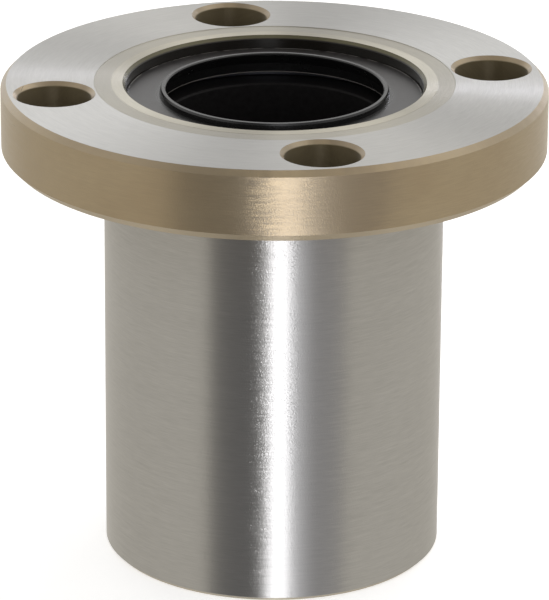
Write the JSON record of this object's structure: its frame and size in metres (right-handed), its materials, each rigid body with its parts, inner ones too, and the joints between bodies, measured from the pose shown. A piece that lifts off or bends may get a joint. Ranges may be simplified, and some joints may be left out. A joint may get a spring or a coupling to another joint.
{
  "type": "flanged linear ball bushing",
  "caption": "Closed linear ball bushing with a round counterbored mounting flange, recirculating ball rows in a cage, and wiper seals at each end.",
  "frame": {"origin": "on the bushing's axis, in the plane of the flange's underside, which seats on the housing", "axes": "+Z along the axis, out of the flanged end; +X through one screw hole"},
  "size_m": [0.0636, 0.0634, 0.0571],
  "materials": {
    "bearing_steel": "ground silver on the flange face and the outside of the body, straw coloured and unground elsewhere",
    "black_resin": "moulded, satin",
    "nitrile_rubber": "moulded, matt",
    "sheet_steel": "pressed",
    "spring_steel": "blued",
    "ball_steel": "lapped and polished"
  },
  "bodies": {
    "outer_sleeve": {"ball_retainer": "black_resin", "lower_retaining_ring": "spring_steel", "lower_seal": "nitrile_rubber", "lower_seal_washer": "sheet_steel", "outer_cylinder": "bearing_steel", "upper_retaining_ring": "spring_steel", "upper_seal": "nitrile_rubber", "upper_seal_washer": "sheet_steel"},
    "circuit_1_load": {"circuit_1_load_balls": "ball_steel"},
    "circuit_1_return": {"circuit_1_return_balls": "ball_steel"},
    "circuit_1_upper_turn": {"circuit_1_upper_turn_balls": "ball_steel"},
    "circuit_1_lower_turn": {"circuit_1_lower_turn_balls": "ball_steel"},
    "circuit_2_load": {"circuit_2_load_balls": "ball_steel"},
    "circuit_2_return": {"circuit_2_return_balls": "ball_steel"},
    "circuit_2_upper_turn": {"circuit_2_upper_turn_balls": "ball_steel"},
    "circuit_2_lower_turn": {"circuit_2_lower_turn_balls": "ball_steel"},
    "circuit_3_load": {"circuit_3_load_balls": "ball_steel"},
    "circuit_3_return": {"circuit_3_return_balls": "ball_steel"},
    "circuit_3_upper_turn": {"circuit_3_upper_turn_balls": "ball_steel"},
    "circuit_3_lower_turn": {"circuit_3_lower_turn_balls": "ball_steel"},
    "circuit_4_load": {"circuit_4_load_balls": "ball_steel"},
    "circuit_4_return": {"circuit_4_return_balls": "ball_steel"},
    "circuit_4_upper_turn": {"circuit_4_upper_turn_balls": "ball_steel"},
    "circuit_4_lower_turn": {"circuit_4_lower_turn_balls": "ball_steel"},
    "circuit_5_load": {"circuit_5_load_balls": "ball_steel"},
    "circuit_5_return": {"circuit_5_return_balls": "ball_steel"},
    "circuit_5_upper_turn": {"circuit_5_upper_turn_balls": "ball_steel"},
    "circuit_5_lower_turn": {"circuit_5_lower_turn_balls": "ball_steel"},
    "circuit_6_load": {"circuit_6_load_balls": "ball_steel"},
    "circuit_6_return": {"circuit_6_return_balls": "ball_steel"},
    "circuit_6_upper_turn": {"circuit_6_upper_turn_balls": "ball_steel"},
    "circuit_6_lower_turn": {"circuit_6_lower_turn_balls": "ball_steel"}
  },
  "joints": [
    {"name": "circuit_1_load_travel", "type": "slide", "parent": "outer_sleeve", "child": "circuit_1_load", "axis": [0, 0, 1], "range_m": [0, 0.00452]},
    {"name": "circuit_1_return_travel", "type": "slide", "parent": "outer_sleeve", "child": "circuit_1_return", "axis": [0, 0, -1], "range_m": [0, 0.00452]},
    {"name": "circuit_1_upper_turn_swing", "type": "hinge", "parent": "outer_sleeve", "child": "circuit_1_upper_turn", "pos_m": [0.01449, 0.00287, -0.00213], "axis": [-0.9759, -0.0666, 0.2079], "range_deg": [0, 90]},
    {"name": "circuit_1_lower_turn_swing", "type": "hinge", "parent": "outer_sleeve", "child": "circuit_1_lower_turn", "pos_m": [0.01449, 0.00287, -0.03832], "axis": [-0.9759, -0.0666, -0.2079], "range_deg": [0, 90]},
    {"name": "circuit_2_load_travel", "type": "slide", "parent": "outer_sleeve", "child": "circuit_2_load", "axis": [0, 0, 1], "range_m": [0, 0.00452]},
    {"name": "circuit_2_return_travel", "type": "slide", "parent": "outer_sleeve", "child": "circuit_2_return", "axis": [0, 0, -1], "range_m": [0, 0.00452]},
    {"name": "circuit_2_upper_turn_swing", "type": "hinge", "parent": "outer_sleeve", "child": "circuit_2_upper_turn", "pos_m": [0.00476, 0.01398, -0.00213], "axis": [-0.4303, -0.8784, 0.2079], "range_deg": [0, 90]},
    {"name": "circuit_2_lower_turn_swing", "type": "hinge", "parent": "outer_sleeve", "child": "circuit_2_lower_turn", "pos_m": [0.00476, 0.01398, -0.03832], "axis": [-0.4303, -0.8784, -0.2079], "range_deg": [0, 90]},
    {"name": "circuit_3_load_travel", "type": "slide", "parent": "outer_sleeve", "child": "circuit_3_load", "axis": [0, 0, 1], "range_m": [0, 0.00452]},
    {"name": "circuit_3_return_travel", "type": "slide", "parent": "outer_sleeve", "child": "circuit_3_return", "axis": [0, 0, -1], "range_m": [0, 0.00452]},
    {"name": "circuit_3_upper_turn_swing", "type": "hinge", "parent": "outer_sleeve", "child": "circuit_3_upper_turn", "pos_m": [-0.00973, 0.01111, -0.00213], "axis": [0.5456, -0.8118, 0.2079], "range_deg": [0, 90]},
    {"name": "circuit_3_lower_turn_swing", "type": "hinge", "parent": "outer_sleeve", "child": "circuit_3_lower_turn", "pos_m": [-0.00973, 0.01111, -0.03832], "axis": [0.5456, -0.8118, -0.2079], "range_deg": [0, 90]},
    {"name": "circuit_4_load_travel", "type": "slide", "parent": "outer_sleeve", "child": "circuit_4_load", "axis": [0, 0, 1], "range_m": [0, 0.00452]},
    {"name": "circuit_4_return_travel", "type": "slide", "parent": "outer_sleeve", "child": "circuit_4_return", "axis": [0, 0, -1], "range_m": [0, 0.00452]},
    {"name": "circuit_4_upper_turn_swing", "type": "hinge", "parent": "outer_sleeve", "child": "circuit_4_upper_turn", "pos_m": [-0.01449, -0.00287, -0.00213], "axis": [0.9759, 0.0666, 0.2079], "range_deg": [0, 90]},
    {"name": "circuit_4_lower_turn_swing", "type": "hinge", "parent": "outer_sleeve", "child": "circuit_4_lower_turn", "pos_m": [-0.01449, -0.00287, -0.03832], "axis": [0.9759, 0.0666, -0.2079], "range_deg": [0, 90]},
    {"name": "circuit_5_load_travel", "type": "slide", "parent": "outer_sleeve", "child": "circuit_5_load", "axis": [0, 0, 1], "range_m": [0, 0.00452]},
    {"name": "circuit_5_return_travel", "type": "slide", "parent": "outer_sleeve", "child": "circuit_5_return", "axis": [0, 0, -1], "range_m": [0, 0.00452]},
    {"name": "circuit_5_upper_turn_swing", "type": "hinge", "parent": "outer_sleeve", "child": "circuit_5_upper_turn", "pos_m": [-0.00476, -0.01398, -0.00213], "axis": [0.4303, 0.8784, 0.2079], "range_deg": [0, 90]},
    {"name": "circuit_5_lower_turn_swing", "type": "hinge", "parent": "outer_sleeve", "child": "circuit_5_lower_turn", "pos_m": [-0.00476, -0.01398, -0.03832], "axis": [0.4303, 0.8784, -0.2079], "range_deg": [0, 90]},
    {"name": "circuit_6_load_travel", "type": "slide", "parent": "outer_sleeve", "child": "circuit_6_load", "axis": [0, 0, 1], "range_m": [0, 0.00452]},
    {"name": "circuit_6_return_travel", "type": "slide", "parent": "outer_sleeve", "child": "circuit_6_return", "axis": [0, 0, -1], "range_m": [0, 0.00452]},
    {"name": "circuit_6_upper_turn_swing", "type": "hinge", "parent": "outer_sleeve", "child": "circuit_6_upper_turn", "pos_m": [0.00973, -0.01111, -0.00213], "axis": [-0.5456, 0.8118, 0.2079], "range_deg": [0, 90]},
    {"name": "circuit_6_lower_turn_swing", "type": "hinge", "parent": "outer_sleeve", "child": "circuit_6_lower_turn", "pos_m": [0.00973, -0.01111, -0.03832], "axis": [-0.5456, 0.8118, -0.2079], "range_deg": [0, 90]}
  ],
  "couplings": [
    {"joint": "circuit_1_return_travel", "follows": "circuit_1_load_travel", "ratio": 1},
    {"joint": "circuit_1_upper_turn_swing", "follows": "circuit_1_load_travel", "rad_per_m": 347.22},
    {"joint": "circuit_1_lower_turn_swing", "follows": "circuit_1_load_travel", "rad_per_m": 347.22},
    {"joint": "circuit_2_return_travel", "follows": "circuit_2_load_travel", "ratio": 1},
    {"joint": "circuit_2_upper_turn_swing", "follows": "circuit_2_load_travel", "rad_per_m": 347.22},
    {"joint": "circuit_2_lower_turn_swing", "follows": "circuit_2_load_travel", "rad_per_m": 347.22},
    {"joint": "circuit_3_return_travel", "follows": "circuit_3_load_travel", "ratio": 1},
    {"joint": "circuit_3_upper_turn_swing", "follows": "circuit_3_load_travel", "rad_per_m": 347.22},
    {"joint": "circuit_3_lower_turn_swing", "follows": "circuit_3_load_travel", "rad_per_m": 347.22},
    {"joint": "circuit_4_return_travel", "follows": "circuit_4_load_travel", "ratio": 1},
    {"joint": "circuit_4_upper_turn_swing", "follows": "circuit_4_load_travel", "rad_per_m": 347.22},
    {"joint": "circuit_4_lower_turn_swing", "follows": "circuit_4_load_travel", "rad_per_m": 347.22},
    {"joint": "circuit_5_return_travel", "follows": "circuit_5_load_travel", "ratio": 1},
    {"joint": "circuit_5_upper_turn_swing", "follows": "circuit_5_load_travel", "rad_per_m": 347.22},
    {"joint": "circuit_5_lower_turn_swing", "follows": "circuit_5_load_travel", "rad_per_m": 347.22},
    {"joint": "circuit_6_return_travel", "follows": "circuit_6_load_travel", "ratio": 1},
    {"joint": "circuit_6_upper_turn_swing", "follows": "circuit_6_load_travel", "rad_per_m": 347.22},
    {"joint": "circuit_6_lower_turn_swing", "follows": "circuit_6_load_travel", "rad_per_m": 347.22}
  ]
}
